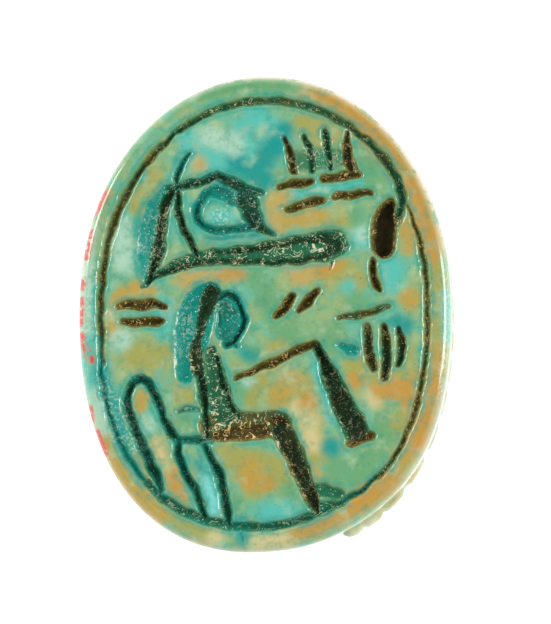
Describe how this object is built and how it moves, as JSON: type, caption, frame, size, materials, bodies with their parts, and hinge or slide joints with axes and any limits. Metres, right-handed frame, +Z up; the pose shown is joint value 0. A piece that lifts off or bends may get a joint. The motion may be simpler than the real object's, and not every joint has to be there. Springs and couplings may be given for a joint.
{
  "type": "scarab amulet",
  "caption": "Glazed steatite beetle amulet on an oval plinth, pierced lengthwise, with a seated figure and a crouching lion cut into its flat seal face.",
  "frame": {"origin": "centre of the bounding box on the surface the amulet lies on, under the small flat on the beetle's back", "axes": "+Z up, out of the engraved seal face, as the amulet lies on its back; +Y along its length towards the beetle's head; +X across it"},
  "size_m": [0.0132, 0.017, 0.0076],
  "materials": {
    "glazed_steatite": "glossy turquoise glaze, mottled ochre where it is thin, darker and bluer where it pooled along the cuts"
  },
  "bodies": {
    "root": {"scarab": "glazed_steatite"}
  },
  "joints": []
}
